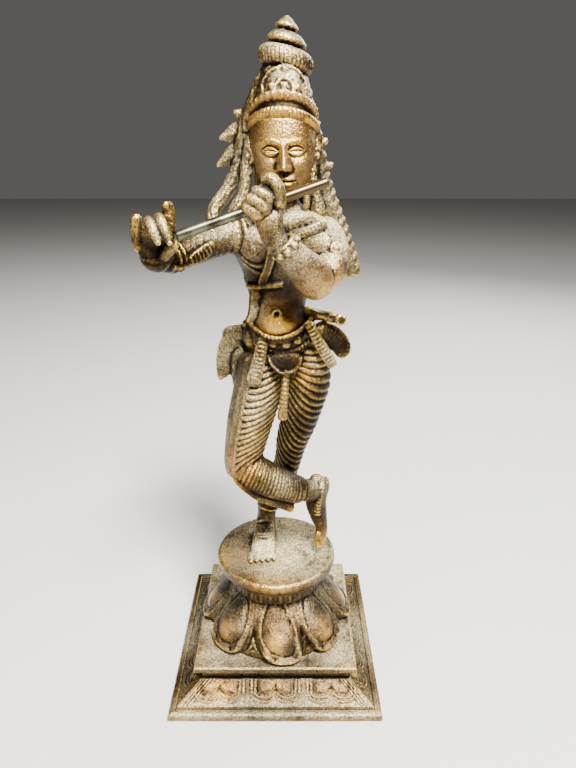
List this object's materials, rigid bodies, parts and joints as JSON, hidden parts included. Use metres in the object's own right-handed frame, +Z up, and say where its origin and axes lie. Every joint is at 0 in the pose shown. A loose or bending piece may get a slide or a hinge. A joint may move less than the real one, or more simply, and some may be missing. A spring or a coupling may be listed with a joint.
{
  "type": "flute player statuette",
  "caption": "Cast bronze figure of a flute player standing cross-legged on a round lotus seat over a square plinth, for display on a shelf or altar.",
  "frame": {"origin": "middle of the plinth's underside", "axes": "+Z up to the crown's tip, -Y the way the figure faces, +X towards the figure's left side"},
  "size_m": [0.075, 0.075, 0.22],
  "materials": {
    "bronze": "dark brown cast bronze, worn to warm copper and yellow on the high places, with pale dust in the hollows",
    "rod_bronze": "plain drawn bronze rod, smoother than the casting, grey-green"
  },
  "bodies": {
    "root": {"statue": "bronze", "flute": "rod_bronze"}
  },
  "joints": []
}
